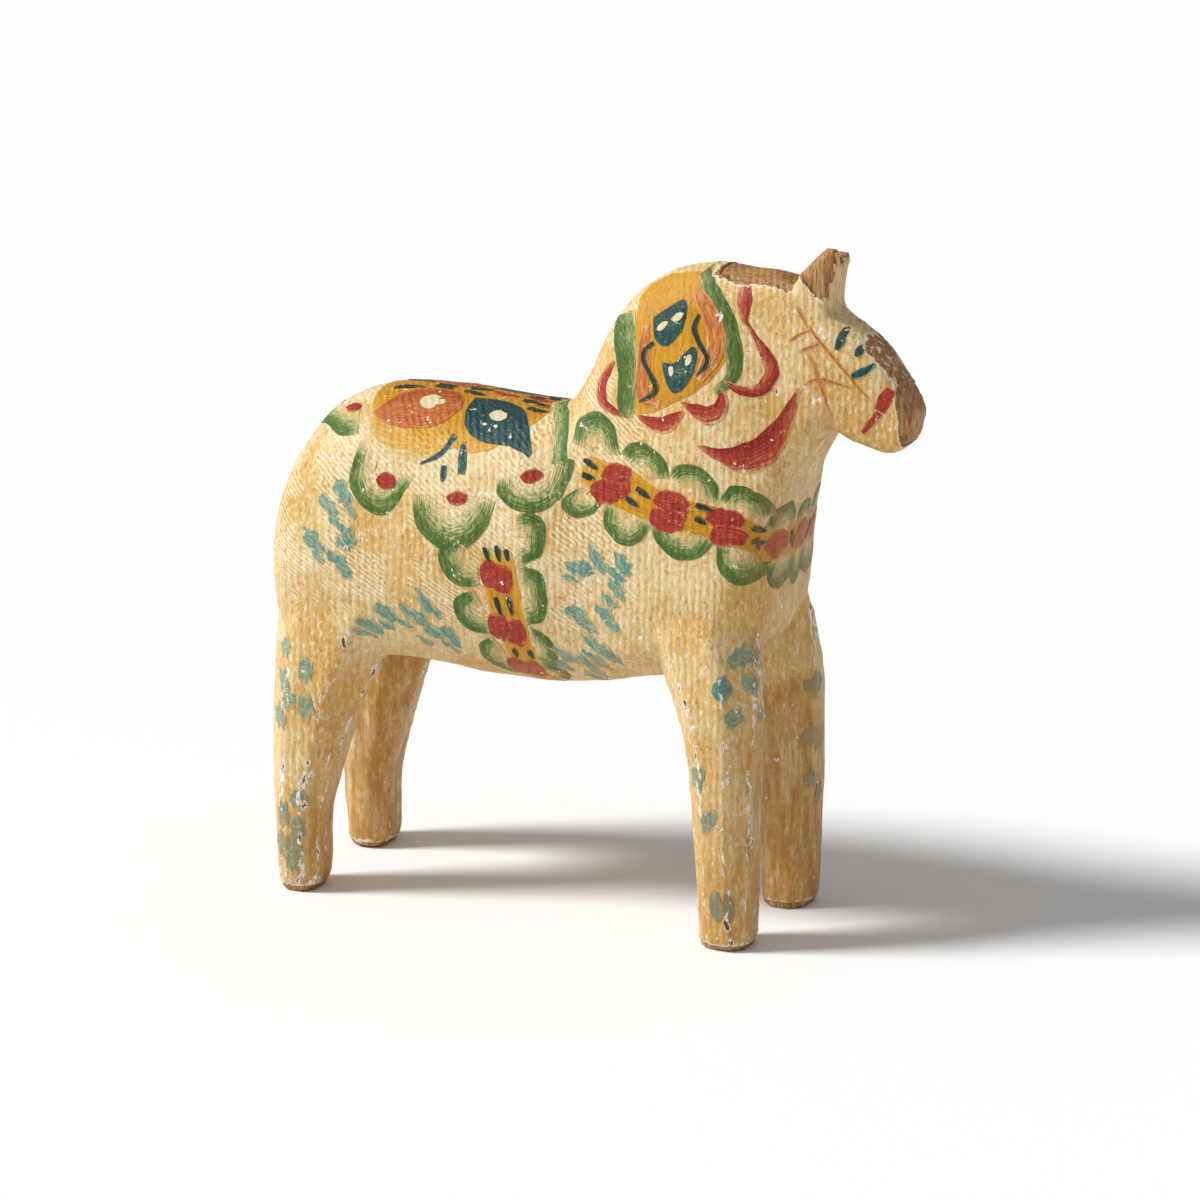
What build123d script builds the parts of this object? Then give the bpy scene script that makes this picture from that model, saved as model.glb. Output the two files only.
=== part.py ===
from build123d import *
import math
import os

# Driving sizes, in mm. X runs forwards to the nose, Y to the horse's left, Z up from the floor.
LENGTH = 170.4         # rump to nose
WIDTH = 58.0           # across the barrel
LEG_LENGTH = 60.0      # floor to the lowest line of the belly
TRUNK_HEIGHT = 120.0   # belly line to the tip of the right ear
LEG_STOUTNESS = 1.0    # thickness of the legs against the pattern
EAR_WORN = 2.4         # how much shorter the left ear is worn
EAR_NICK = 3.2         # width of the nick between the ears at the tips
BASE_COAT = 0.25       # cream paint over the wood
STROKE = 0.15          # one layer of decoration on the cream
FOOT_BARE = 3.0        # wood left bare at the bottom of each leg
BAND_WIDTH = 9.0       # ochre breast band and girth
BLOT = 8.0             # red blots on the bands
LOBE = 7.0             # radius of a green scallop

# The pattern that every point below is drawn to, cut down or let out to the sizes above.
PATTERN_LENGTH = 170.4
PATTERN_WIDTH = 58.0
PATTERN_LEG = 60.0
PATTERN_TRUNK = 120.0


def along(x):
    return x * LENGTH / PATTERN_LENGTH


def across(y):
    return y * WIDTH / PATTERN_WIDTH


def height(z):
    if z <= PATTERN_LEG:
        return z * LEG_LENGTH / PATTERN_LEG
    return LEG_LENGTH + (z - PATTERN_LEG) * TRUNK_HEIGHT / PATTERN_TRUNK


# ---------------------------------------------------------------- the carved block

# Ribs of the trunk from rump to nose: point on the back, point on the belly, half width towards
# each, and how square the upper and lower halves are.
RIBS = [
    ((-85, 104), (-85, 72), 17, 21, 2.3, 3.0),
    ((-82.3, 113), (-82.6, 66), 22, 25.5, 2.3, 3.2),
    ((-75.5, 123), (-76, 62), 25, 28.3, 2.3, 3.6),
    ((-66, 128.7), (-66, 61), 27, 29, 2.3, 3.4),
    ((-50, 131.2), (-50, 61.5), 27.5, 29, 2.3, 2.8),
    ((-30, 130.8), (-30, 59.6), 28, 29, 2.3, 2.4),
    ((-19, 130.4), (-14, 59.4), 28, 29, 2.3, 2.3),
    ((-13, 130.4), (0, 60.8), 27, 29, 2.3, 2.5),
    ((-8.6, 133.2), (14, 64.3), 23, 29, 2.3, 2.9),
    ((-3.9, 140.5), (30, 68), 19, 29, 2.4, 3.4),
    ((0.9, 150.8), (44, 74), 16, 28.5, 2.5, 3.4),
    ((8.2, 161.8), (50.4, 88), 13, 27.5, 2.8, 3.0),
    ((18.4, 168.9), (52.4, 103), 11, 24.5, 3.0, 2.8),
    ((30.5, 172.2), (55, 116.5), 9.5, 19.5, 3.4, 3.0),
    ((44.3, 171.8), (59.6, 127.8), 8.5, 14, 4.0, 3.6),
    ((54.5, 169), (64.2, 134.2), 8, 11.5, 4.5, 4.2),
    ((64.5, 162.6), (67.5, 133.2), 7.5, 10, 5, 5),
    ((73.1, 156.6), (72, 131.1), 7, 9, 5, 5),
    ((79.6, 149.8), (77, 129.4), 6.5, 7.5, 5, 5),
    ((83.7, 143.7), (81.3, 130), 6, 6.5, 5, 5),
    ((85.4, 139.8), (84.3, 133.2), 5, 5.5, 5, 5),
]

# Right legs, from the sole up into the trunk: height, back, front, outer face, inner face.
FORE_LEG = [
    (0, 35.5, 48.6, -26, -12.4),
    (12, 35.2, 49, -27.2, -12),
    (40, 33.8, 49.6, -28.4, -11.2),
    (58, 30, 50.2, -28.4, -10.5),
    (74, 22, 49.6, -27.2, -8),
    (92, 12, 46, -22, -4),
]
HIND_LEG = [
    (0, -81.5, -72.5, -27, -14),
    (12, -82.6, -70.8, -28, -13),
    (30, -83.6, -68, -28.6, -12),
    (48, -84.4, -62, -28.8, -10.5),
    (62, -84.9, -56, -28.4, -9),
    (76, -85, -48, -27.5, -6),
    (92, -84, -44, -24, -3),
    (106, -76, -48, -16, -2),
]
LEG_CHAMFER = 0.28     # share of the leg's depth that the knife takes off each corner

# The wedge that both ears are cut from: height, back, front, half width.
EARS = [
    (158, 54, 62, 6.6),
    (167, 54, 62.6, 6.7),
    (173.2, 55, 63.6, 6.2),
    (177.4, 58.6, 64.4, 5.6),
    (180, 60.6, 63.8, 4.8),
]
EAR_CHAMFER = 1.0
NICK_FLOOR = 170

# Where the corners and the middles of a rib's right half come, from 0 at the top to 1 at the bottom.
RIB_CORNERS = (0.09, 0.26, 0.74, 0.91)
RIB_MIDDLES = (0.17, 0.5, 0.83)


def rib_wire(top, bottom, crest, keel, box_up, box_down, skin):
    """A closed section of the trunk, a rounded box whose corners fade into its sides."""
    top_point = Vector(along(top[0]), 0, height(top[1]))
    bottom_point = Vector(along(bottom[0]), 0, height(bottom[1]))
    up = (top_point - bottom_point).normalized()
    half = (top_point - bottom_point).length / 2 + skin
    centre = (top_point + bottom_point) / 2

    def at(turn):
        """A point of the right half, turn running from 0 at the top to 1 at the bottom."""
        rise = math.cos(math.pi * turn)
        box = box_up if rise > 0 else box_down
        width = across((crest + keel) / 2 + (crest - keel) / 2 * rise) + skin
        out = width * (1 - abs(rise) ** box) ** (1 / box)
        return centre + up * (half * rise) + Vector(0, -out, 0)

    def mirrored(point):
        return Vector(point.X, -point.Y, point.Z)

    corners = [at(turn) for turn in RIB_CORNERS]
    middles = [at(turn) for turn in RIB_MIDDLES]
    right = [Edge.make_three_point_arc(corners[i], middles[i], corners[i + 1]) for i in range(3)]
    left = [
        Edge.make_three_point_arc(mirrored(corners[i + 1]), mirrored(middles[i]), mirrored(corners[i]))
        for i in (2, 1, 0)
    ]
    back = Edge.make_three_point_arc(mirrored(corners[0]), at(0), corners[0])
    belly = Edge.make_three_point_arc(corners[3], at(1), mirrored(corners[3]))
    return Wire([back, *right, belly, *left])


def octagon(x0, x1, y0, y1, z, cut):
    """A level section with its four corners cut off."""
    points = [(x0 + cut, y0), (x1 - cut, y0), (x1, y0 + cut), (x1, y1 - cut),
              (x1 - cut, y1), (x0 + cut, y1), (x0, y1 - cut), (x0, y0 + cut)]
    return Wire.make_polygon([Vector(x, y, z) for x, y in points], close=True)


def trunk(skin):
    ribs = [rib_wire(*rib, skin) for rib in RIBS]
    ribs[0] = ribs[0].moved(Pos(-skin, 0, 0))
    ribs[-1] = ribs[-1].moved(Pos(skin, 0, 0))
    return Solid.make_loft(ribs)


def leg(stations, side, skin):
    """One leg; side is 1 for the right and -1 for the left."""
    sections = []
    for z, back, front, outer, inner in stations:
        x = along((back + front) / 2)
        depth = along(front - back) * LEG_STOUTNESS / 2 + skin
        y = across((outer + inner) / 2) * side
        half = across(inner - outer) * LEG_STOUTNESS / 2 + skin
        y -= side * across(inner - outer) * (1 - LEG_STOUTNESS) / 2
        cut = LEG_CHAMFER * along(front - back) * LEG_STOUTNESS
        sections.append(octagon(x - depth, x + depth, y - half, y + half, height(z), cut))
    return Solid.make_loft(sections)


def ears(skin):
    """Both ears as one wedge, nicked down the middle, with the left one worn lower."""
    sections = []
    for z, back, front, half in EARS:
        reach = across(half) + skin
        x0, x1 = along(back) - skin, along(front) + skin
        sections.append(octagon(x0, x1, -reach, reach, height(z), EAR_CHAMFER))
    tip = height(EARS[-1][0])
    over = tip + 1
    nick = Wire.make_polygon([
        Vector(0, -EAR_NICK / 2, over),
        Vector(0, EAR_NICK / 2, over),
        Vector(0, 0, height(NICK_FLOOR)),
    ])
    nick = Solid.extrude(Face(nick), Vector(LENGTH, 0, 0))
    worn = Pos(0, WIDTH / 2, tip - EAR_WORN + WIDTH / 2) * Box(2 * LENGTH, WIDTH, WIDTH)
    return Solid.make_loft(sections) - nick - worn


def horse(skin=0.0):
    """The whole carved form, let out all over by the thickness of the paint on it."""
    body = trunk(skin)
    for side in (1, -1):
        body = body + leg(FORE_LEG, side, skin) + leg(HIND_LEG, side, skin)
    return body + ears(skin)


# ---------------------------------------------------------------- placing the paint

FAR = 2 * (LENGTH + WIDTH)     # longer than anything here
BACK_FROM = 100                # the back's drawings reach down to this height
CHEST_FROM = 48                # and the chest's back to here


def at_side(x, z, shape, turn=0):
    return Pos(along(x), height(z)) * Rot(0, 0, turn) * shape


def at_top(x, y, shape, turn=0):
    return Pos(along(x), across(y)) * Rot(0, 0, turn) * shape


def at_front(y, z, shape):
    return Pos(across(y), height(z)) * shape


def through_flanks(sketch):
    """A drawing of X against Z, pushed through the horse from flank to flank."""
    return extrude(Plane.XZ * sketch, FAR / 2, both=True)


def through_back(sketch):
    """A drawing of X against Y, pushed down through the back as far as the middle."""
    return extrude(Plane.XY.offset(height(BACK_FROM)) * sketch, FAR)


def through_chest(sketch):
    """A drawing of Y against Z, pushed back through the front of the chest alone."""
    return extrude(Plane.YZ.offset(along(CHEST_FROM)) * sketch, FAR)


def circles(places, radius, at=at_side):
    return Sketch() + [at(a, b, Circle(radius)) for a, b in places]


def strip(start, end, width):
    """One straight run of a flat brush."""
    a = Vector(along(start[0]), height(start[1]))
    b = Vector(along(end[0]), height(end[1]))
    angle = math.degrees(math.atan2(b.Y - a.Y, b.X - a.X))
    middle = (a + b) / 2
    return Pos(middle.X, middle.Y) * Rot(0, 0, angle) * Rectangle((b - a).length, width)


def stroke(points, width):
    """A run of the brush through several points, round at the turns."""
    run = Sketch() + [strip(a, b, width) for a, b in zip(points, points[1:])]
    turns = points[1:-1]
    return run + circles(turns, width / 2) if turns else run


def strokes(runs, width):
    return Sketch() + [stroke(points, width) for points in runs]


def patch(points):
    corners = [(along(x), height(z)) for x, z in points]
    return Polygon(*corners, align=None)


def leaf_pair(x, y, length, width, gap=0.0):
    """A leaf on each side of the back, leaning outwards to the rear; gap is added all round."""
    leaf = Ellipse(length / 2 + gap, width / 2 + gap)
    return Sketch() + [at_top(x, y * side, leaf, -LEAF_TURN * side) for side in (1, -1)]


# ---------------------------------------------------------------- the paint

BREAST_BAND = [(1, 121), (48, 109), (56, 104.5), (72, 104)]
BREAST_BLOTS = [(10, 118.2), (27, 113.8), (42, 110.2)]
CHEST_BLOTS = [(-11, 104.6), (1, 104.6), (13, 104.6)]
BREAST_LOBES = [(5, 127), (18, 121.5), (33, 117.5), (46, 113.5),
                (3, 115), (15.5, 111), (31, 108.5), (45, 103)]
CHEST_LOBES = [(-10, 108.5), (1, 107.5), (12, 108.5), (-8, 99), (3, 97), (14, 99)]
BREAST_TICKS = [((2, 121.6), (6, 120.6)), ((2, 118.6), (6, 117.8)),
                ((17.5, 117.6), (21, 116.4)), ((15, 114.4), (19, 113.4)),
                ((34, 114.2), (38, 113.4)), ((34, 111.6), (37, 110.6))]
GIRTH = [(-19.5, 100), (-12, 54)]
GIRTH_BLOTS = [(-18.5, 92), (-16.4, 78), (-14, 65)]
GIRTH_LOBES = [(-26.5, 94), (-24, 82.5), (-19.5, 71), (-13, 104), (-11.5, 88), (-10, 74)]
GIRTH_TICKS = [((-21, 99), (-20, 96.5)), ((-18, 99.5), (-17, 96.5)),
               ((-18.5, 86), (-18, 82.5)), ((-15, 87), (-14.6, 82)),
               ((-16, 72), (-15.4, 70)), ((-12.2, 72), (-11.8, 70))]
TICK_WIDTH = 1.6

SADDLE_EDGE = [(-4, 135), (-1.5, 124), (-3, 113)]
SADDLE_EDGE_WIDTH = 4.5
SADDLE_LOBES = [(-12, 118, 9), (-31, 109, 11), (-52, 112, 8.5), (-70, 124.5, 6)]
SADDLE_DABS = [(-11, 117.5), (-30.5, 110.5), (-50.5, 112.5)]
SADDLE_DAB = 2.4
SADDLE_FIELD = (-39, 22, 17.5)           # centre, half length, half width
SADDLE_BLUES = [[(-34.5, 124), (-38, 119), (-41, 117.5)], [(-31.5, 123), (-30.5, 116.5)],
                [(-35, 117.5), (-34.8, 114.5)]]
ORANGE_LEAF = (-46.5, 10, 20, 13)        # centre, distance from the ridge, length, width
PETROL_DROP = (-24.5, 11.5, 18, 12.5)
LEAF_TURN = 12
LEAF_GAP = 0.5                           # left between a leaf and the ticks beside it
HEARTS = [(-44.5, 9.6), (-25.2, 11.2)]
HEART = 2.5
RIDGE_TICKS = [(-54, 3.2, 5), (-37, 2.4, 5), (-19, 2.2, 5)]

MANE_REAR_BAR = [(8.2, 157.5), (12, 134.5)]
MANE_REAR_WIDTH = 5.5
MANE_FRONT_BAR = [(28.5, 171), (37.5, 160), (40, 152), (39, 146)]
MANE_FRONT_WIDTH = 4.0
MANE_FIELD = [(11, 162), (20, 170), (29, 171), (37, 160), (39, 151), (33, 144),
              (22, 138), (15, 136), (13.5, 150)]
MANE_LEAVES = [(22.2, 159, 50), (26.2, 148.6, 42)]
MANE_LEAF = (6, 3)                       # half length, half width
MANE_CURLS = [[(18.5, 153), (16, 150), (20.2, 143.5), (17, 139.5)],
              [(29.6, 161), (30, 156), (33.4, 151), (32.4, 147.5)]]
CURL_WIDTH = 1.3
RED_COMMAS = [
    [(41, 168), (41.5, 162), (47, 155), (50, 150), (48, 145), (41, 145)],
    [(57, 144), (52, 135), (47, 128), (39, 129)],
    [(37.5, 143), (36, 137.5), (29, 139)],
    [(28, 137), (23, 133.5), (17, 135)],
    [(5, 146), (4, 140), (9, 135.5)],
]
COMMA_WIDTH = 3.0

BRIDLE = [[(56, 164), (59, 160), (74, 144)], [(57.5, 155), (61.5, 151), (65, 140.5)],
          [(59, 146.5), (70, 147)]]
BRIDLE_WIDTH = 0.9
EYE = [[(67.2, 160), (66.2, 156.5)], [(72.5, 156.6), (71, 154.4)], [(75, 152), (70.8, 150)]]
EYE_WIDTH = 1.6
MOUTH = [[(80.8, 147.6), (77.2, 141)], [(76.8, 140), (73.4, 135.2)]]
MOUTH_WIDTH = 2.4

DAPPLES = [(-66, 104), (-61, 101), (-70, 95), (-63, 91), (-49, 79), (-41, 78), (-36, 74),
           (3, 95), (9, 99), (15, 92), (4, 83), (11, 85), (7, 75), (6, 69),
           (-79, 65), (-72, 60), (-79, 55), (-73, 49), (-80, 44), (-77, 22), (-73, 14),
           (45, 69), (38, 46), (40, 34), (45, 12)]
DAPPLE = (2.2, 3.2)                      # half width, half height

# Wood showing on the head: from X to X, above a height; and the nose, in front of a slanting line.
BARE_EARS = (52.5, 69.5, 168)
BARE_POLL = (33, 53, 171)
BARE_NOSE = (82.5, 138)
NOSE_SLANT = 8


def above(rear, fore, floor):
    """All the space over a height, between two distances along the horse."""
    length = along(fore - rear)
    return Pos(along(rear) + length / 2, 0, height(floor) + FAR / 2) * Box(length, FAR, FAR)


def bared(coat):
    """The cream coat without the places it never covered or has lost."""
    soles = Pos(0, 0, FOOT_BARE - FAR / 2) * Box(FAR, FAR, FAR)
    x, z = BARE_NOSE
    ahead = Pos(FAR / 2, 0, 0) * Box(FAR, FAR, WIDTH)
    nose = Pos(along(x), 0, height(z)) * Rot(0, -NOSE_SLANT, 0) * ahead
    return coat - soles - above(*BARE_EARS) - above(*BARE_POLL) - nose


def paint(forms):
    """Every layer of paint by name, each filling its outline of the shell between two forms."""
    coat, first, second = [outer - inner for inner, outer in zip(forms, forms[1:])]
    layers = {"cream_base_coat": bared(coat)}

    # On top of the back: the saddle's ochre field and what is painted over it.
    x, half_length, half_width = SADDLE_FIELD
    field = through_back(at_top(x, 0, Ellipse(along(half_length), across(half_width))))
    layers["saddle_ochre_field"] = first & field
    on_field = second & field
    hearts = circles([(a, b * side) for a, b in HEARTS for side in (1, -1)], HEART, at_top)
    for name, leaf in (("saddle_orange_leaves", ORANGE_LEAF), ("saddle_petrol_drops", PETROL_DROP)):
        layers[name] = on_field & through_back(leaf_pair(*leaf) - hearts)
    layers["saddle_cream_hearts"] = on_field & through_back(hearts)
    ticks = Sketch() + [at_top(x, y * side, Rectangle(length, TICK_WIDTH))
                        for x, y, length in RIDGE_TICKS for side in (1, -1)]
    leaves = leaf_pair(*ORANGE_LEAF, LEAF_GAP) + leaf_pair(*PETROL_DROP, LEAF_GAP)
    layers["saddle_black_ticks"] = on_field & through_back(ticks - leaves)

    # On the flanks: each drawing leaves out what an earlier one has covered.
    flanks = first - field
    girth = stroke(GIRTH, BAND_WIDTH)
    breast = stroke(BREAST_BAND, BAND_WIDTH)
    mane_frame = strip(*MANE_REAR_BAR, MANE_REAR_WIDTH) + stroke(MANE_FRONT_BAR, MANE_FRONT_WIDTH)
    saddle = stroke(SADDLE_EDGE, SADDLE_EDGE_WIDTH)
    saddle += [at_side(x, z, Circle(radius)) for x, z, radius in SADDLE_LOBES]
    drawings = {
        "breast_band": breast,
        "girth_band": girth,
        "saddle_scallops": saddle,
        "mane_green_frame": mane_frame,
        "mane_ochre_field": patch(MANE_FIELD),
        "girth_band_scallops": circles(GIRTH_LOBES, LOBE),
        "breast_band_scallops": circles(BREAST_LOBES, LOBE),
        "neck_red_commas": strokes(RED_COMMAS, COMMA_WIDTH),
        "saddle_blue_strokes": strokes(SADDLE_BLUES, TICK_WIDTH),
        "bridle_lines": strokes(BRIDLE, BRIDLE_WIDTH),
        "eye_strokes": strokes(EYE, EYE_WIDTH),
        "mouth_strokes": strokes(MOUTH, MOUTH_WIDTH),
        "turquoise_dapples": Sketch() + [at_side(x, z, Ellipse(*DAPPLE)) for x, z in DAPPLES],
    }
    chest = through_chest(circles(CHEST_LOBES, LOBE, at_front)) - through_flanks(breast)
    taken = None
    for name, drawing in drawings.items():
        tool = through_flanks(drawing - taken if taken else drawing)
        if name == "breast_band_scallops":
            tool = tool + chest
        layers[name] = flanks & tool
        taken = taken + drawing if taken else drawing

    # Over the flanks' first layer: blots and ticks on the bands, dabs, leaves and curls.
    on_breast = second & through_flanks(breast)
    blots = through_flanks(circles(BREAST_BLOTS, BLOT / 2)) + through_chest(
        circles(CHEST_BLOTS, BLOT / 2, at_front))
    layers["breast_band_red_blots"] = on_breast & blots
    layers["breast_band_black_ticks"] = on_breast & through_flanks(strokes(BREAST_TICKS, TICK_WIDTH)) - blots
    on_girth = second & through_flanks(girth)
    blots = circles(GIRTH_BLOTS, BLOT / 2)
    layers["girth_band_red_blots"] = on_girth & through_flanks(blots)
    layers["girth_band_black_ticks"] = on_girth & through_flanks(strokes(GIRTH_TICKS, TICK_WIDTH) - blots)
    dabs = through_flanks(circles(SADDLE_DABS, SADDLE_DAB))
    layers["saddle_red_dabs"] = second & dabs
    mane = second & through_flanks(patch(MANE_FIELD) - mane_frame)
    leaves = Sketch() + [at_side(x, z, Ellipse(*MANE_LEAF), turn) for x, z, turn in MANE_LEAVES]
    layers["mane_petrol_leaves"] = mane & through_flanks(leaves)
    layers["mane_black_curls"] = mane & through_flanks(strokes(MANE_CURLS, CURL_WIDTH) - leaves)
    return layers


def write(name, shape):
    shape.label = name
    export_step(shape, f"parts/{name}.step")


if __name__ == "__main__":
    os.makedirs("parts", exist_ok=True)
    levels = [0, BASE_COAT, BASE_COAT + STROKE, BASE_COAT + 2 * STROKE]
    forms = [horse(skin) for skin in levels]
    write("carved_pine_block", forms[0])
    for name, layer in paint(forms).items():
        write(name, layer)
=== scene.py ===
import math
import random

import bpy
import numpy as np
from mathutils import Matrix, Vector
from mathutils.bvhtree import BVHTree
from mathutils.kdtree import KDTree


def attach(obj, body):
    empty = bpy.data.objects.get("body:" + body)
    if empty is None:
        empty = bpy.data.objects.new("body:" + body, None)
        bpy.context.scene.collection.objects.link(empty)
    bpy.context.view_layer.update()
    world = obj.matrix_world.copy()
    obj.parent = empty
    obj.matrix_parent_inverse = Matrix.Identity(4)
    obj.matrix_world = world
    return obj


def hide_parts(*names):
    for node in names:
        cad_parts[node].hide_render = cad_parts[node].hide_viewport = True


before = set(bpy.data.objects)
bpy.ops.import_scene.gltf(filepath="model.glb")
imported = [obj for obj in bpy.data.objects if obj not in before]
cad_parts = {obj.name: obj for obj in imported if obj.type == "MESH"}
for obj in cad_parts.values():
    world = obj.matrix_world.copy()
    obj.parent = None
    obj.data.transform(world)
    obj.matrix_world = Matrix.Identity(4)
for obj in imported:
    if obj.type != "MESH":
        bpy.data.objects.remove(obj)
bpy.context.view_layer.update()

MM = 0.001
RIGHT, LEFT = -1, 1                    # the sign of Y on each flank
rng = random.Random(1920)


# ---------------------------------------------------------------- node and colour helpers

SOFTLY = {"interpolation_type": "SMOOTHSTEP"}
IN_COLOUR = {"data_type": "RGBA"}


def linear(hex_colour):
    """An sRGB hex colour as the linear RGBA that a shader socket takes."""
    parts = [int(hex_colour[i:i + 2], 16) / 255 for i in (1, 3, 5)]
    return tuple(p / 12.92 if p <= 0.04045 else ((p + 0.055) / 1.055) ** 2.4 for p in parts) + (1.0,)


def add(tree, kind, inputs, out=0, **settings):
    """Adds a shader node with its settings, sets or links its inputs, and gives one of its outputs."""
    node = tree.nodes.new("ShaderNode" + kind)
    for key, value in settings.items():
        setattr(node, key, value)
    for key, value in inputs.items():
        if isinstance(value, bpy.types.NodeSocket):
            tree.links.new(value, node.inputs[key])
        else:
            node.inputs[key].default_value = value
    return node.outputs[out] if node.outputs else None


def new_material(name):
    material = bpy.data.materials.new(name)
    material.use_nodes = True
    tree = material.node_tree
    tree.nodes.clear()
    return material, tree


def tinted(tree, colour, marks):
    """A colour with marks laid over it: for each a pattern, where it starts and is full, strength, shade."""
    for pattern, starts, full, strength, shade in marks:
        reach = {"Value": pattern, "From Min": starts, "From Max": full, "To Max": strength}
        amount = add(tree, "MapRange", reach, **SOFTLY)
        colour = add(tree, "Mix", {0: amount, 6: colour, 7: linear(shade)}, 2, **IN_COLOUR)
    return colour


def relief(tree, standing):
    """The height of a surface in millimetres: every pattern times how tall it stands, added up."""
    height = 0.0
    for pattern, tall in standing:
        height = add(tree, "Math", {0: pattern, 1: tall, 2: height}, operation="MULTIPLY_ADD")
    return height


def ragged(tree, amount, pattern, spread):
    """An amount broken up by a pattern: raised or lowered by up to half the spread."""
    sway = add(tree, "Math", {0: pattern, 1: spread, 2: -spread / 2}, operation="MULTIPLY_ADD")
    return add(tree, "Math", {0: amount, 1: sway}, operation="ADD")


REFRACTION = 1.47                      # linseed oil's, which bare wood is close enough to
SHEEN = 0.35                           # aged oil and bare wood shine less than a clean surface


def finish_material(tree, colour, height, smoothest, roughest, pattern, bump):
    """The shader: a colour, a height in millimetres, and a roughness that follows a pattern."""
    rough = add(tree, "MapRange", {"Value": pattern, "To Min": smoothest, "To Max": roughest})
    normal = add(tree, "Bump", {"Strength": bump, "Distance": 1.0 * MM, "Height": height})
    shader = add(tree, "BsdfPrincipled", {"Base Color": colour, "Roughness": rough, "Normal": normal,
                                          "IOR": REFRACTION, "Specular IOR Level": SHEEN})
    add(tree, "OutputMaterial", {"Surface": shader})


# ---------------------------------------------------------------- patterns of pine and paint

PITH = (0.20, 0.10, 0.0)               # the tree's centre lay this far behind and to the right
RING = 1.8 * MM                        # growth rings, which stand up through the paint
FIBRE = 0.55 * MM                      # wood fibres, drawn as coarse as they need to be to show
WOOD_PATCH = 7 * MM                    # paler and darker patches of bare wood
COMB = 1.15 * MM                       # comb marks that the brush left, drawn coarse enough to show
COMB_GAP = 11 * MM                     # where comb marks come and go
COMB_LEAN = math.radians(58)           # they run forwards and down the flank
STAIN = 15 * MM                        # yellowed and paler areas of the cream
MOTTLE = 0.95 * MM                     # the cream's uneven skin
FLECK = 0.42 * MM                      # dirt in its pits
SMEAR = 2.6 * MM                       # grime from hands, whose smears also break up the painted shade
CHIP = 1.7 * MM                        # paint lost along the arrises
KNOCK = 3.4 * MM                       # paint lost elsewhere
PEELED = 1.6 * MM                      # the ragged edge of a bare place
MISSED = 0.8 * MM                      # specks that the brush passed over
WAVE_BANDS = 20                        # bands of a wave texture in one unit at a scale of two pi
BARREL = ((66 * MM, 84 * MM), (32 * MM, 12 * MM))      # comb marks begin in height, and end towards the neck


def growth_rings(tree, vector):
    """Ridges of the hard late wood, standing up round the pith and so upright on every flat."""
    moved = add(tree, "Mapping", {"Vector": vector, "Location": PITH})
    return add(tree, "TexWave", {"Vector": moved, "Scale": 2 * math.pi / (WAVE_BANDS * RING),
                                 "Distortion": 3.5, "Detail": 3.0, "Detail Scale": 0.45,
                                 "Detail Roughness": 0.7}, "Fac",
               wave_type="RINGS", rings_direction="Z", wave_profile="SIN")


def comb_marks(tree, vector):
    """Fine wavering ridges, running forwards and down the flank, with gaps between patches of them."""
    turned = add(tree, "Mapping", {"Vector": vector, "Rotation": (0.0, COMB_LEAN, 0.0)})
    ridges = add(tree, "TexWave", {"Vector": turned, "Scale": 2 * math.pi / (WAVE_BANDS * COMB),
                                   "Distortion": 9.0, "Detail": 3.0, "Detail Scale": 0.35,
                                   "Detail Roughness": 0.8}, "Fac",
                 wave_type="BANDS", bands_direction="X", wave_profile="SIN")
    gaps = add(tree, "TexNoise", {"Vector": vector, "Scale": 1 / COMB_GAP, "Detail": 2, "Roughness": 0.55})
    kept = add(tree, "MapRange", {"Value": gaps, "From Min": 0.38, "From Max": 0.54}, **SOFTLY)
    ridges = add(tree, "Math", {0: ridges, 1: kept}, operation="MULTIPLY")
    for axis, (starts, full) in zip(("Z", "X"), BARREL):
        place = add(tree, "SeparateXYZ", {"Vector": vector}, axis)
        inside = add(tree, "MapRange", {"Value": place, "From Min": starts, "From Max": full}, **SOFTLY)
        ridges = add(tree, "Math", {0: ridges, 1: inside}, operation="MULTIPLY")
    return ridges


def bare_pine(tree, vector):
    """Old pine with no finish: brown upright fibres, dark pores and a greyed skin."""
    rings = growth_rings(tree, vector)
    upright = add(tree, "Mapping", {"Vector": vector, "Scale": (1, 1, 0.07)})
    fibre = add(tree, "TexNoise", {"Vector": upright, "Scale": 1 / FIBRE, "Detail": 4, "Roughness": 0.6})
    patch = add(tree, "TexNoise", {"Vector": vector, "Scale": 1 / WOOD_PATCH, "Detail": 3,
                                   "Roughness": 0.55})
    colour = tinted(tree, linear("#A2703D"), [
        (patch, 0.35, 0.65, 1.0, "#BC9160"),
        (fibre, 0.50, 0.34, 1.0, "#744A27"),
        (fibre, 0.56, 0.70, 0.6, "#D6B384"),
        (rings, 0.25, 0.0, 0.4, "#80522C"),
    ])
    return colour, relief(tree, [(fibre, 0.30), (rings, 0.12)]), fibre


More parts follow.
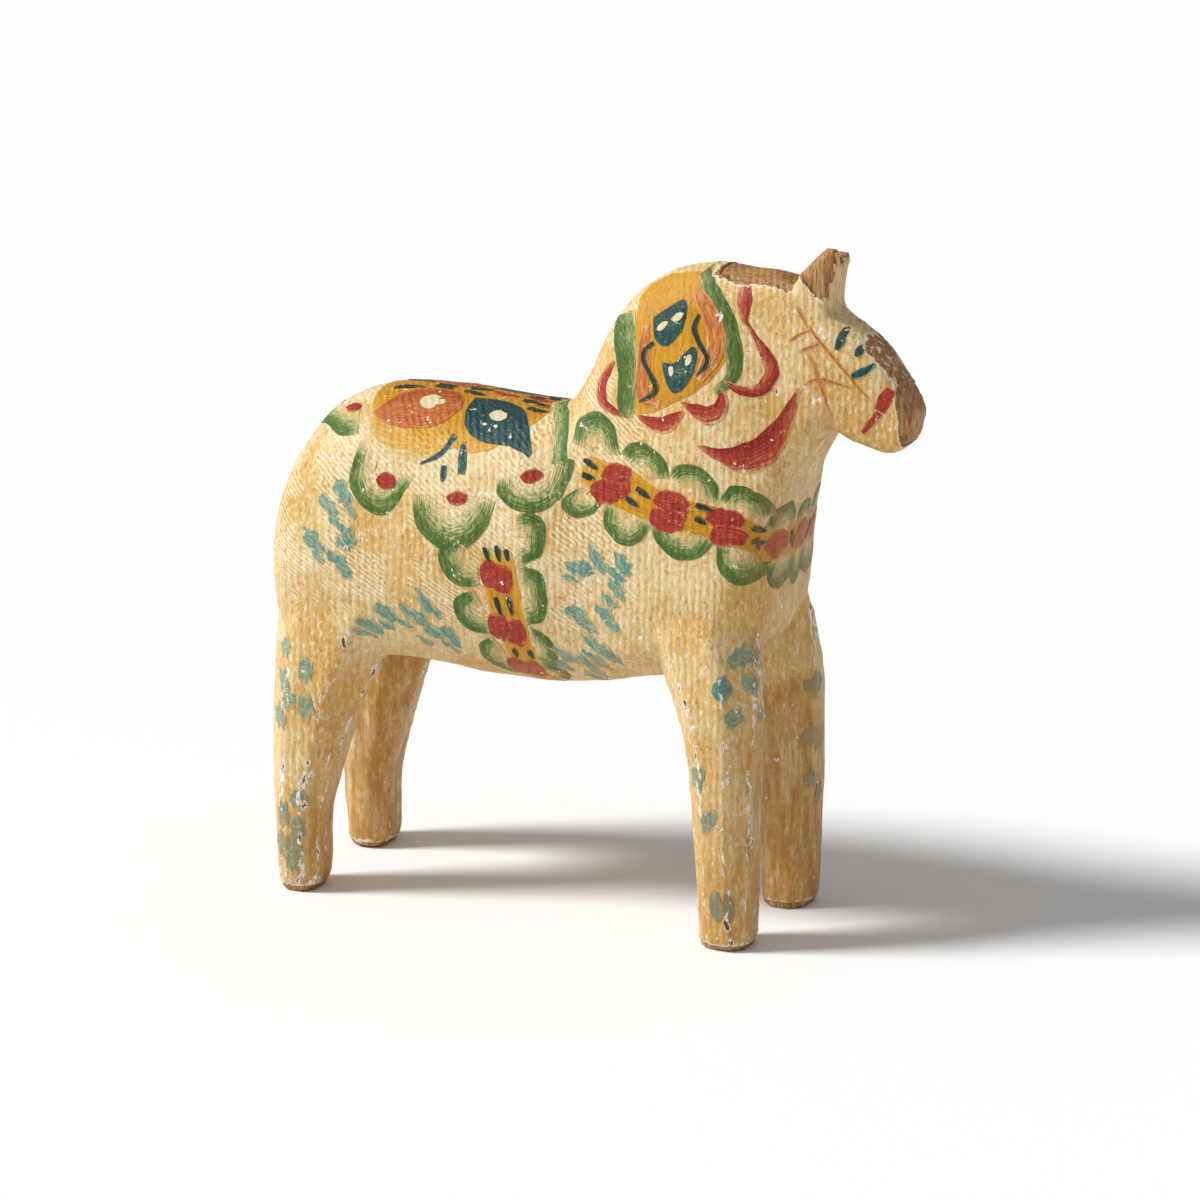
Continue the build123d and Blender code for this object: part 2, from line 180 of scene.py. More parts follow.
def cream_paint(tree, vector):
    """Aged cream oil paint on pine: ochre in the hollows, pale on the ridges, finely pitted."""
    rings = growth_rings(tree, vector)
    comb = comb_marks(tree, vector)
    tall = add(tree, "Mapping", {"Vector": vector, "Scale": (1, 1, 0.6)})
    stain = add(tree, "TexNoise", {"Vector": tall, "Scale": 1 / STAIN, "Detail": 4, "Roughness": 0.6})
    tall = add(tree, "Mapping", {"Vector": vector, "Scale": (1, 1, 0.5)})
    mottle = add(tree, "TexNoise", {"Vector": tall, "Scale": 1 / MOTTLE, "Detail": 4, "Roughness": 0.7})
    tall = add(tree, "Mapping", {"Vector": vector, "Scale": (1, 1, 0.7)})
    fleck = add(tree, "TexNoise", {"Vector": tall, "Scale": 1 / FLECK, "Detail": 2, "Roughness": 0.7})
    colour = tinted(tree, linear("#E0C892"), [
        (stain, 0.38, 0.66, 1.0, "#D2A757"),
        (rings, 0.40, 0.02, 0.24, "#B78440"),
        (comb, 0.45, 0.80, 0.75, "#EFE0BE"),
        (mottle, 0.50, 0.68, 0.75, "#EFE1C0"),
        (mottle, 0.46, 0.31, 0.80, "#B4803A"),
        (fleck, 0.40, 0.27, 0.75, "#7A4D25"),
    ])
    return colour, relief(tree, [(rings, 0.13), (mottle, 0.22), (comb, 0.12), (fleck, 0.06)]), mottle


# ---------------------------------------------------------------- age and wear

def chipped(tree, vector, colour, height):
    """Knocks along the carved edges and a few elsewhere: white ground, then brown wood in the middle."""
    tall = add(tree, "Mapping", {"Vector": vector, "Scale": (1, 1, 0.36)})
    edge = add(tree, "TexNoise", {"Vector": tall, "Scale": 1 / CHIP, "Detail": 4, "Roughness": 0.65})
    tall = add(tree, "Mapping", {"Vector": vector, "Scale": (1, 1, 0.8)})
    spots = add(tree, "TexNoise", {"Vector": tall, "Scale": 1 / KNOCK, "Detail": 3, "Roughness": 0.7})
    wear = add(tree, "Attribute", {}, "Fac", attribute_name="wear")
    on_edges = add(tree, "Math", {0: wear, 1: 0.92}, operation="MULTIPLY")
    chip = add(tree, "Math", {0: ragged(tree, on_edges, edge, 2.6), 1: ragged(tree, 0.42, spots, 3.2)},
               operation="MAXIMUM")
    ground = add(tree, "MapRange", {"Value": chip, "From Min": 0.96, "From Max": 1.03}, **SOFTLY)
    wood = add(tree, "MapRange", {"Value": chip, "From Min": 1.17, "From Max": 1.25}, **SOFTLY)
    colour = add(tree, "Mix", {0: ground, 6: colour, 7: linear("#EDE5D6")}, 2, **IN_COLOUR)
    colour = add(tree, "Mix", {0: wood, 6: colour, 7: linear("#6E4628")}, 2, **IN_COLOUR)
    return colour, relief(tree, [(height, 1.0), (ground, -0.14), (wood, -0.12)])


def weathered_and_shaded(tree, vector, colour, height):
    """Grime and painted shade, knocks and the bare places, read from the marks on the surface."""
    tall = add(tree, "Mapping", {"Vector": vector, "Scale": (1, 1, 0.22)})
    smear = add(tree, "TexNoise", {"Vector": tall, "Scale": 1 / SMEAR, "Detail": 5, "Roughness": 0.75})
    smeared = add(tree, "MapRange", {"Value": smear, "From Min": 0.25, "From Max": 0.70}, **SOFTLY)
    grime_and_shade = add(tree, "Attribute", {}, "Fac", attribute_name="grime_and_shade")
    dirt_and_shade = add(tree, "Math", {0: grime_and_shade, 1: smeared}, operation="MULTIPLY")
    # the grime and the painted shade, laid on in one ochre-brown
    colour = add(tree, "Mix", {0: dirt_and_shade, 6: colour, 7: linear("#B07C30")}, 2, **IN_COLOUR)
    colour, height = chipped(tree, vector, colour, height)
    wood_colour, wood_height, _ = bare_pine(tree, vector)
    tall = add(tree, "Mapping", {"Vector": vector, "Scale": (1, 1, 0.5)})
    edge = add(tree, "TexNoise", {"Vector": tall, "Scale": 1 / PEELED, "Detail": 4, "Roughness": 0.65})
    lost = ragged(tree, add(tree, "Attribute", {}, "Fac", attribute_name="bare"), edge, 1.4)
    thinned = add(tree, "MapRange", {"Value": lost, "From Min": 0.24, "From Max": 0.36, "To Max": 0.85},
                  **SOFTLY)
    left = add(tree, "MapRange", {"Value": lost, "From Min": 0.62, "From Max": 0.50}, **SOFTLY)
    rim = add(tree, "Math", {0: thinned, 1: left}, operation="MULTIPLY")
    stripped = add(tree, "MapRange", {"Value": lost, "From Min": 0.50, "From Max": 0.56}, **SOFTLY)
    colour = add(tree, "Mix", {0: rim, 6: colour, 7: linear("#EADFC8")}, 2, **IN_COLOUR)
    colour = add(tree, "Mix", {0: stripped, 6: colour, 7: wood_colour}, 2, **IN_COLOUR)
    return colour, add(tree, "Mix", {0: stripped, 2: height, 3: wood_height})


# ---------------------------------------------------------------- the finishes

def pine_material():
    """The knife leaves flats with the fibres cut open, which look dry, brown and matt."""
    material, tree = new_material("old pine, knife-carved, unfinished")
    colour, height, fibre = bare_pine(tree, add(tree, "TexCoord", {}, "Object"))
    finish_material(tree, colour, height, 0.62, 0.8, fibre, 0.9)
    return material


def cream_material():
    """A hog brush and old age leave a combed, mottled satin skin, through which the grain stands up."""
    material, tree = new_material("cream oil paint, brushed on white ground, aged")
    vector = add(tree, "TexCoord", {}, "Object")
    colour, height, mottle = cream_paint(tree, vector)
    colour, height = weathered_and_shaded(tree, vector, colour, height)
    finish_material(tree, colour, height, 0.42, 0.62, mottle, 0.8)
    return material


BRISTLES = (1.6, 22.0, 1.0)            # streaks in a centimetre: few along the stroke, many across it


def brush_material(name, dense, thin, deepest):
    """Thin colour from a loaded brush looks streaked, and lets the cream show where it runs out."""
    material, tree = new_material(name)
    vector = add(tree, "TexCoord", {}, "Object")
    ground, height, mottle = cream_paint(tree, vector)
    hair = add(tree, "Mapping", {"Vector": add(tree, "UVMap", {}, uv_map="UVMap"), "Scale": BRISTLES})
    bristle = add(tree, "TexNoise", {"Vector": hair, "Scale": 1.0, "Detail": 3.0, "Roughness": 0.7})
    load = ragged(tree, add(tree, "Attribute", {}, "Fac", attribute_name="paint_load"), bristle, 2.1)
    load = ragged(tree, load, mottle, 1.3)
    pigment = tinted(tree, linear(thin), [(load, 0.20, 0.95, 1.0, dense), (load, 0.95, 1.4, 0.9, deepest)])
    specks = add(tree, "TexNoise", {"Vector": vector, "Scale": 1 / MISSED, "Detail": 3, "Roughness": 0.7})
    wetted = add(tree, "MapRange", {"Value": load, "From Min": 0.0, "From Max": 0.62}, **SOFTLY)
    reached = add(tree, "MapRange", {"Value": specks, "From Min": 0.29, "From Max": 0.36}, **SOFTLY)
    covered = add(tree, "Math", {0: wetted, 1: reached}, operation="MULTIPLY")
    colour = add(tree, "Mix", {0: covered, 6: ground, 7: pigment}, 2, **IN_COLOUR)
    colour, height = weathered_and_shaded(tree, vector, colour, height)
    streaks = add(tree, "Math", {0: bristle, 1: covered}, operation="MULTIPLY")
    finish_material(tree, colour, relief(tree, [(height, 1.0), (streaks, 0.12)]), 0.36, 0.58, mottle, 0.8)
    return material


# ---------------------------------------------------------------- mesh helpers

def deselect():
    for item in bpy.context.selected_objects:
        item.select_set(False)


def select_only(item):
    deselect()
    item.select_set(True)
    bpy.context.view_layer.objects.active = item


def apply_modifier(item, kind, **settings):
    select_only(item)
    modifier = item.modifiers.new(kind.title(), kind)
    for key, value in settings.items():
        setattr(modifier, key, value)
    bpy.ops.object.modifier_apply(modifier=modifier.name)


def positions(mesh):
    co = np.empty(len(mesh.vertices) * 3)
    mesh.vertices.foreach_get("co", co)
    return co.reshape(-1, 3)


def normals(mesh):
    out = np.empty(len(mesh.vertices) * 3)
    mesh.vertex_normals.foreach_get("vector", out)
    return out.reshape(-1, 3)


def set_attribute(mesh, name, values):
    layer = mesh.attributes.get(name) or mesh.attributes.new(name, "FLOAT", "POINT")
    layer.data.foreach_set("value", np.asarray(values, np.float32))


def smooth_step(value, low, high):
    t = np.clip((value - low) / (high - low), 0, 1)
    return t * t * (3 - 2 * t)


def neighbour_mean(mesh, values, times):
    """values averaged over each vertex's neighbours, a number of times."""
    edges = np.empty(len(mesh.edges) * 2, int)
    mesh.edges.foreach_get("vertices", edges)
    a, b = edges.reshape(-1, 2).T
    count = np.bincount(edges, minlength=len(mesh.vertices)).astype(float)
    values = np.array(values, float)
    for _ in range(times):
        total = np.zeros_like(values)
        np.add.at(total, a, values[b])
        np.add.at(total, b, values[a])
        values = total / (count[:, None] if values.ndim > 1 else count)
    return values


# ---------------------------------------------------------------- the carved horse

VOXEL = 1.25 * MM                      # fine enough for the arrises, and the coat stays a light mesh
MERGE = 0.02 * MM
CUT_SIZE = 16 * MM                     # how far apart the knife's uneven cuts are
CUT_DEPTH = 1.1 * MM                   # and how much they stray, from the deepest to the highest
COAT_THICKNESS = 0.25 * MM
SOLE_LEVEL = 0.35 * MM                 # what is lower than this is flat on the floor
COAT_FROM = 0.9 * MM                   # the cream stops this far above the floor
BARE = 0.995                           # a bare mark above this has no cream at all


def carved_body():
    """The block as the knife left it: the frame's form with softened joints and slightly uneven cuts."""
    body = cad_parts["carved_pine_block"].copy()
    body.data = body.data.copy()
    body.name = "carved_pine_body"
    bpy.context.scene.collection.objects.link(body)
    select_only(body)
    bpy.ops.object.mode_set(mode="EDIT")
    bpy.ops.mesh.select_all(action="SELECT")
    bpy.ops.mesh.remove_doubles(threshold=MERGE)
    bpy.ops.object.mode_set(mode="OBJECT")
    apply_modifier(body, "REMESH", mode="VOXEL", voxel_size=VOXEL, use_smooth_shade=True)
    apply_modifier(body, "SMOOTH", factor=0.5, iterations=2)
    clouds = bpy.data.textures.new("uneven knife cuts", "CLOUDS")
    clouds.noise_scale = CUT_SIZE
    apply_modifier(body, "DISPLACE", texture=clouds, texture_coords="LOCAL", strength=CUT_DEPTH,
                   mid_level=0.5)
    level_soles(body.data)
    return body


def level_soles(mesh):
    """Nothing of the horse is under the floor it stands on."""
    co = positions(mesh)
    co[:, 2] = np.where(co[:, 2] < SOLE_LEVEL, 0.0, co[:, 2])
    mesh.vertices.foreach_set("co", co.ravel())
    mesh.update()


def mark_surface(body):
    """Where the horse is bare, worn, grimy and painted in shade, from its own form; places are in
    millimetres.
    """
    mesh = body.data
    co, n = positions(mesh) / MM, normals(mesh)
    x, y, z = co.T
    facing_in = -n[:, 1] * np.sign(y)                  # between the legs

    # Wear: where the form stands out, judged by the legs' arrises, with less high up or between the legs.
    hump = ((co - neighbour_mean(mesh, co, 8)) * n).sum(1)
    legs = hump[(z > 6) & (z < 66)]
    wear = smooth_step(hump, np.percentile(legs, 60), np.percentile(legs, 88))
    wear *= 1 - 0.6 * smooth_step(z, 85, 110)
    wear *= 1 - 0.6 * smooth_step(facing_in, 0.0, 0.6) * smooth_step(z, 70, 60)

    # Bare wood: the ears above a slanting line, the poll behind them, the nose, and partly brow and soles.
    ear = smooth_step(z - (172.4 - 0.8 * (x - 55)), -1.5, 1.5)
    ear = ear * smooth_step(x, 53, 54.5) * (n[:, 0] < 0.75)
    poll = smooth_step(n[:, 2], 0.55, 0.8) * smooth_step(x, 30, 34) * smooth_step(z, 166, 168) * (x < 56)
    nose = smooth_step(x - (82.6 - 0.12 * (z - 131)), -0.8, 1.0)
    brow = smooth_step(n[:, 2] + n[:, 0], 0.9, 1.2) * smooth_step(x, 69, 73)
    brow = brow * smooth_step(z, 143, 148) * 0.64
    sole = 0.95 * smooth_step(z, 3.4, 0.0)
    bare = np.maximum.reduce([ear, poll, nose, brow, sole])

    # Grime and painted shade in one mark: grime on the legs, darker near the floor and at the cheek, and
    # painted shade between the legs, under the body and on what faces forwards.
    # painted shade on the faces that look in between the legs
    inner = smooth_step(facing_in, 0.1, 0.7) * smooth_step(z, 66, 56)
    grime_and_shade = (0.25 + 0.15 * smooth_step(x, 20, 30)) * smooth_step(z, 66, 50)    # more on the fore legs
    grime_and_shade = grime_and_shade + 0.5 * smooth_step(z, 34, 6)                                # near the floor
    # the painted shade between the legs goes in with the grime
    grime_and_shade = grime_and_shade + 0.85 * inner
    # painted shade under the body, deeper low between the legs
    grime_and_shade += 0.5 * smooth_step(-n[:, 2], 0.3, 0.8) + 0.4 * inner * smooth_step(z, 30, 5)
    cheek = np.exp(-((x - 62) ** 2 + (z - 137) ** 2) / 40)
    # darker at the cheek, and painted shade on what faces forwards
    grime_and_shade += 0.6 * cheek + 0.5 * smooth_step(n[:, 0], 0.4, 0.9)
    for name, values in (("wear", wear), ("bare", bare), ("grime_and_shade", np.clip(grime_and_shade, 0, 1))):
        set_attribute(mesh, name, values)


def cream_coat(body):
    """The cream coat over the wood, gone altogether from the ears, poll, nose and soles."""
    coat = body.copy()
    coat.data = body.data.copy()
    coat.name = "cream_paint_coat"
    bpy.context.scene.collection.objects.link(coat)
    mesh = coat.data
    bare = np.empty(len(mesh.vertices))
    mesh.attributes["bare"].data.foreach_get("value", bare)
    gone = (bare > BARE) | (positions(mesh)[:, 2] < COAT_FROM)
    for vertex, lost in zip(mesh.vertices, gone):
        vertex.select = bool(lost)
    select_only(coat)
    bpy.ops.object.mode_set(mode="EDIT")
    bpy.ops.mesh.select_mode(type="VERT")
    bpy.ops.mesh.delete(type="VERT")
    bpy.ops.object.mode_set(mode="OBJECT")
    apply_modifier(coat, "SOLIDIFY", thickness=COAT_THICKNESS, offset=1.0)
    return coat


body = carved_body()
mark_surface(body)
coat = cream_coat(body)
body.data.materials.clear()
body.data.materials.append(pine_material())
coat.data.materials.clear()
coat.data.materials.append(cream_material())
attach(body, "root")
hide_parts("carved_pine_block")
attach(coat, "root")
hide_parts("cream_base_coat")


# ---------------------------------------------------------------- the surface that the brush touches

def coat_tree(body):
    """The outside of the cream coat, as something to lay strokes on."""
    mesh = body.data
    outside = positions(mesh) + normals(mesh) * COAT_THICKNESS
    return BVHTree.FromPolygons([Vector(p) for p in outside], [list(p.vertices) for p in mesh.polygons])


def touched(start, direction, guess):
    """Where a ray meets the coat, or the nearest of the coat to a guess where it misses."""
    hit = SURFACE.ray_cast(Vector(start) * MM, Vector(direction))[0]
    return hit if hit is not None else SURFACE.find_nearest(Vector(guess) * MM)[0]


BESIDE, ABOVE, BELOW, BEFORE = 90, 260, -20, 160       # where rays start from, in mm, clear of the horse


def flank(side):
    """Seen from one side: X and height."""
    return lambda x, z: touched((x, side * BESIDE, z), (0, -side, 0), (x, side * 10, z))


def back(side):
    """Seen from above: X and the distance out to one side."""
    return lambda x, out: touched((x, side * out, ABOVE), (0, 0, -1), (x, side * out, 120))


def under(side):
    """Seen from below: X and the distance out to one side."""
    return lambda x, out: touched((x, side * out, BELOW), (0, 0, 1), (x, side * out, 60))


def chest(side):
    """Seen from the front: the distance out to one side and height."""
    return lambda out, z: touched((BEFORE, side * out, z), (-1, 0, 0), (50, side * out, z))


# ---------------------------------------------------------------- one stroke of the brush

GRID_STEP = 0.75                       # mm between the vertices of a stroke
FILM = 0.09 * MM                       # how thick a stroke is drawn
EDGE_WANDER = 0.22                     # mm that a stroke's edge strays from its line
SWAY_LENGTH = 2.2                      # mm from one sway of an edge to the next
LOAD_SPREAD = 0.08                     # how much one stroke's paint differs from the next


def smooth_line(points, count):
    """count points evenly along a soft curve through the given ones, in two or three dimensions."""
    p = np.array([tuple(q) for q in points], float)
    if len(p) == 2:
        return p[0] + (p[1] - p[0]) * np.linspace(0, 1, count)[:, None]
    ghost = np.vstack([2 * p[0] - p[1], p, 2 * p[-1] - p[-2]])
    t = np.linspace(0, 1, 13)[:-1, None]
    run = []
    for a, b, c, d in zip(ghost, ghost[1:], ghost[2:], ghost[3:]):
        run.append(0.5 * (2 * b + (c - a) * t + (2 * a - 5 * b + 4 * c - d) * t ** 2
                          + (3 * b - a - 3 * c + d) * t ** 3))
    run = np.vstack(run + [p[-1:]])
    far = np.concatenate([[0], np.cumsum(np.linalg.norm(np.diff(run, axis=0), axis=1))])
    at = np.linspace(0, far[-1], count)
    return np.stack([np.interp(at, far, run[:, k]) for k in range(run.shape[1])], axis=1)


def length_of(points):
    p = np.array([tuple(q) for q in points], float)
    return float(np.linalg.norm(np.diff(p, axis=0), axis=1).sum())


def wander(count, step):
    """A slow random sway, about one in size."""
    knots = max(3, int(count * step / SWAY_LENGTH) + 2)
    values = [rng.uniform(-1, 1) for _ in range(knots)]
    return np.interp(np.linspace(0, knots - 1, count), range(knots), values)


# How much paint the brush leaves from one edge of a stroke to the other.
FULL = (0.55, 1.0, 0.95, 1.0, 0.55)
SHADED = (0.95, 1.1, 0.55, 0.10, -0.6)  # a scallop: the dark edge first, then running out
SIDED = (1.0, 1.15, 0.75, 0.5, 0.3)    # a comma, loaded on one side of the brush
THIN = (0.4, 0.75, 0.5, 0.75, 0.2)


def sheet(place, rail_a, rail_b, lift, across=FULL, start=0.8, end=0.8, step=GRID_STEP):
    """A stroke filling the space between two edge lines, laid on the coat.

    The edges are drawn in a flat view, which place brings on to the coat; without place they are
    points already in space, in millimetres."""
    count = max(4, int(max(length_of(rail_a), length_of(rail_b)) / step))
    a, b = smooth_line(rail_a, count + 1), smooth_line(rail_b, count + 1)
    width = np.linalg.norm(a - b, axis=1)
    rows = max(3, int(width.max() / step))
    sway = np.clip(width / 3, 0, 1) * EDGE_WANDER / np.maximum(width, 0.3)
    a, b = (a + (a - b) * (wander(count + 1, step) * sway)[:, None],
            b + (b - a) * (wander(count + 1, step) * sway)[:, None])
    bpy.ops.mesh.primitive_grid_add(x_subdivisions=count, y_subdivisions=rows, size=1)
    item = bpy.context.object
    mesh = item.data
    flat = positions(mesh)
    u, v = flat[:, 0] + 0.5, flat[:, 1] + 0.5
    column = np.clip(np.rint(u * count).astype(int), 0, count)
    drawn = a[column] + (b[column] - a[column]) * v[:, None]
    placed, outwards = [], []
    for point in drawn:
        spot = place(*point) if place else Vector(point) * MM
        spot, normal = SURFACE.find_nearest(spot)[:2]
        placed.append(spot + normal * (lift * MM))
        outwards.append(normal)
    mesh.vertices.foreach_set("co", np.array(placed).ravel())
    mesh.update()
    if sum(p.normal.dot(outwards[p.vertices[0]]) for p in mesh.polygons) < 0:
        mesh.flip_normals()
    amount = np.interp(v, (0, 0.14, 0.5, 0.86, 1), across)
    amount = amount * np.interp(u, (0, 0.12, 0.88, 1), (start, 1, 1, end))
    set_attribute(mesh, "paint_load", amount + rng.uniform(-LOAD_SPREAD, LOAD_SPREAD))
    scale_uv(mesh, max(length_of(a), length_of(b)), float(width.max()))
    return item


def scale_uv(mesh, length, width):
    """UV in centimetres, so that the bristle streaks are one size on every stroke."""
    layer = mesh.uv_layers.active.data
    shift = rng.uniform(0, 50)
    for loop in layer:
        loop.uv = (loop.uv[0] * length / 10 + shift, loop.uv[1] * width / 10 + shift)


def run(place, path, widths, lift, across=FULL, start=0.8, end=0.8):
    """A stroke along a path in a flat view, widths being given from its start to its end."""
    count = max(6, int(length_of(path)))
    line = smooth_line(path, count)
    ahead = np.gradient(line, axis=0)
    ahead /= np.linalg.norm(ahead, axis=1)[:, None]
    sideways = np.stack([-ahead[:, 1], ahead[:, 0]], axis=1)
    half = np.interp(np.linspace(0, 1, count), np.linspace(0, 1, len(widths)), widths)[:, None] / 2
    return sheet(place, line + sideways * half, line - sideways * half, lift, across, start, end)


def blob(place, middle, width, tall, lift, turn=0.0, across=FULL, ragged=0.1):
    """A dab: the brush set down once and lifted, its outline more or less ragged."""
    t = np.linspace(0.16, math.pi - 0.16, 9)
    c, s = math.cos(math.radians(turn)), math.sin(math.radians(turn))
    edges = []
    for sign in (1, -1):
        reach = np.array([rng.uniform(1 - ragged, 1 + ragged) for _ in t])
        x, y = -np.cos(t) * width / 2 * reach, sign * np.sin(t) * tall / 2 * reach
        edges.append(np.stack([middle[0] + x * c - y * s, middle[1] + x * s + y * c], axis=1))
    return sheet(place, edges[0], edges[1], lift, across, 0.7, 0.7)


def lobe(place, edge, centre, depth, lift, across=SHADED):
    """A scallop: its outer edge, drawn in towards a centre."""
    outer = np.array([tuple(p) for p in edge], float)
    inner = outer + (np.array(tuple(centre), float) - outer) * depth
    return sheet(place, outer, inner, lift, across, 0.35, 0.35)


# ---------------------------------------------------------------- films: the strokes of one colour

FIRST, SECOND, THIRD = 0.05, 0.16, 0.27        # mm above the cream
WASH = FIRST - 0.03                    # a field that other first strokes lie over


def film(name, node, material, strokes):
    """The strokes of one layer, joined into one piece with the thickness of paint."""
    deselect()
    for item in strokes:
        item.select_set(True)
    bpy.context.view_layer.objects.active = strokes[0]
    bpy.ops.object.join()
    piece = bpy.context.object
    piece.name = name
    mesh = piece.data
    points = positions(mesh)
    nearest = [COAT_POINTS.find(Vector(p))[1] for p in points]
    for key, values in COAT_MARKS.items():
        set_attribute(mesh, key, values[nearest])
    apply_modifier(piece, "SOLIDIFY", thickness=FILM, offset=1.0)
    select_only(piece)
    bpy.ops.object.shade_smooth_by_angle(angle=math.radians(50))
    mesh.materials.clear()
    mesh.materials.append(material)
    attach(piece, "root")
    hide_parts(node)
    return piece


def on_both(draw):
    """The strokes of one drawing, on the right and then on the left."""
    return [item for side in (RIGHT, LEFT) for item in draw(side)]


def spaced(place, points):
    """Points of a flat view as points in space, in millimetres."""
    return [tuple(place(*p) / MM) for p in points]


def breast_band(side):
    s, f = flank(side), chest(side)
    upper = spaced(s, [(3.5, 123.8), (15, 121.5), (24, 118), (33, 116), (40, 115), (47, 112.6)])
    upper += spaced(f, [(17, 109.8), (9, 109.2), (-1, 109)])
    lower = spaced(s, [(1.5, 118.5), (6, 115), (13, 112), (20, 110.5), (30, 108), (38, 106.5), (47, 104.6)])
    lower += spaced(f, [(17, 101), (9, 100.3), (-1, 100)])
    return [sheet(None, upper, lower, FIRST, (0.7, 0.95, 0.85, 1.0, 0.7), 0.6, 1.0)]


def breast_blots(side):
    s, f = flank(side), chest(side)
    marks = [((11.5, 120.2), 8.5, 5, 8), ((9.3, 115.6), 8.5, 6, -4), ((13.5, 117.5), 4.5, 6, 0),
             ((27.5, 115.3), 10, 5.5, -3), ((26.2, 110.6), 10, 6.5, -8), ((29.5, 112.8), 5, 6, 0),
             ((41.5, 112.3), 9.5, 5.4, -6), ((42.5, 108.2), 9.5, 5.6, -6)]
    out = [blob(s, place, w, h, SECOND, turn) for place, w, h, turn in marks]
    front = [((11.5, 104.6), 8.6, 7.5, 0)] + ([((-0.5, 104.6), 8.6, 7.5, 0)] if side == RIGHT else [])
    return out + [blob(f, place, w, h, SECOND, turn) for place, w, h, turn in front]


def dashes(place, marks, width, lift):
    """Short firm touches of a small brush, fat at the start."""
    return [run(place, path, (width * 0.7, width, width * 0.8, width * 0.35), lift, FULL, 1.0, 0.7)
            for path in marks]


def breast_ticks(side):
    marks = [((2, 122.6), (6.2, 120.8)), ((2.2, 119), (5.6, 118.3)),
             ((17.5, 117.5), (21.5, 115.6)), ((15, 114.9), (18.6, 113.2)),
             ((34, 115.3), (38.5, 114)), ((34, 112), (37, 110.7)),
             ((48.3, 110.2), (50.6, 109)), ((48, 106.6), (50.4, 105.8))]
    front = [((18.2, 107.4), (17.6, 104.2)), ((6, 107), (5.7, 103.4)), ((4.6, 104.6), (4.2, 102))]
    return dashes(flank(side), marks, 1.7, THIRD) + dashes(chest(side), front, 1.4, THIRD)


def breast_lobes(side):
    s, f = flank(side), chest(side)
    above = [([(-2, 126), (-1.5, 131.5), (4, 134.3), (9, 132), (12, 125)], (5, 124.5)),
             ([(12, 125.5), (14.5, 128.3), (19, 128.7), (25, 125), (26.5, 121)], (19, 120.5)),
             ([(26, 122), (29, 125), (34, 124.8), (39, 120.5), (39.7, 116)], (33, 117)),
             ([(39.7, 117), (42.5, 120.4), (46.5, 120.4), (51.5, 117), (52.5, 112.5)], (46, 113))]
    below = [([(1.5, 116), (-2.5, 112), (1, 108.8), (6, 110), (9, 113.5)], (5, 115)),
             ([(9.5, 113), (9.6, 107.5), (14.5, 103.2), (19.5, 104.5), (22.5, 109.5)], (16, 111.5)),
             ([(22.5, 109.5), (24, 104.5), (29, 101.2), (35, 101.8), (39.8, 106.8)], (31, 109)),
             ([(39.8, 106), (40.8, 99.5), (45.5, 95.5), (50.3, 97.5), (52, 102.5)], (46, 105))]
    out = [lobe(s, edge, centre, 0.85, FIRST) for edge, centre in above + below]
    fronts = [([(16.5, 109.5), (14, 114), (8, 115), (4.6, 110)], (10.5, 107)),
              ([(14.5, 100), (13.5, 94.5), (8.5, 92), (3.2, 94.5), (2, 99.5)], (8.5, 101.5))]
    if side == RIGHT:
        fronts += [([(4.4, 109.6), (2.4, 113), (-2.4, 113), (-4.4, 109.6)], (0, 107)),
                   ([(3.4, 99.8), (3, 94), (0, 91), (-3, 94), (-3.4, 99.8)], (0, 102))]
    return out + [lobe(f, edge, centre, 0.85, FIRST) for edge, centre in fronts]


def girth_band(side):
    s, u = flank(side), under(side)
    rear = spaced(s, [(-23.5, 99), (-22, 90), (-20, 80), (-17.5, 71), (-16, 65)])
    rear += spaced(u, [(-15, 15), (-14.6, 8), (-14.4, -1)])
    fore = spaced(s, [(-14, 99), (-12, 90), (-10.5, 80), (-9.5, 70), (-8.5, 65)])
    fore += spaced(u, [(-7.8, 15), (-7.5, 8), (-7.4, -1)])
    return [sheet(None, rear, fore, FIRST, (0.6, 0.95, 0.9, 1.0, 0.7), 0.4, 1.0)]


def girth_blots(side):
    s = flank(side)
    marks = [((-20, 92.5), 5.5, 8, 4), ((-16.4, 91.5), 5.8, 8.2, 4),
             ((-18.5, 78), 6.5, 7.8, 6), ((-14.2, 77.2), 6.5, 7.8, 6),
             ((-15.8, 66.5), 6, 5.5, 6), ((-11.8, 66), 6, 5.5, 6)]
    return [blob(s, place, w, h, SECOND, turn) for place, w, h, turn in marks]


def girth_ticks(side):
    marks = [((-21.4, 99.3), (-20.3, 95.7)), ((-18.2, 100), (-17.2, 96)), ((-15.5, 99.4), (-14.8, 96.5)),
             ((-18.6, 86.4), (-17.6, 81.8)), ((-15.2, 87), (-14.2, 82)),
             ((-15.4, 72.2), (-14.8, 69.8)), ((-11.2, 72.4), (-10.4, 69.9))]
    return dashes(flank(side), marks, 1.6, THIRD)


def girth_lobes(side):
    s = flank(side)
    edges = [([(-30, 101.5), (-34.3, 97), (-33, 91.5), (-28.5, 88), (-23, 89)], (-23.5, 96)),
             ([(-25, 87.5), (-30.2, 84.5), (-30.3, 79.5), (-26.5, 76), (-21, 75.5)], (-21.5, 82)),
             ([(-21, 75), (-25.2, 71.8), (-24.4, 67), (-19.5, 63.5), (-16.5, 64)], (-17.5, 69.5)),
             ([(-13.5, 108), (-9, 109), (-5.5, 106), (-6, 99), (-12, 95.5)], (-13, 102)),
             ([(-11.5, 96), (-6, 94), (-4.3, 88), (-5.4, 82), (-10.5, 79.5)], (-12, 88)),
             ([(-9.8, 79.5), (-5, 77), (-3.2, 72), (-5, 68), (-9, 67)], (-10.5, 73)),
             ([(-8.5, 68), (-4, 67.5), (-2.5, 65), (-5, 62.5)], (-9, 64.5))]
    return [lobe(s, edge, centre, 0.85, FIRST) for edge, centre in edges]


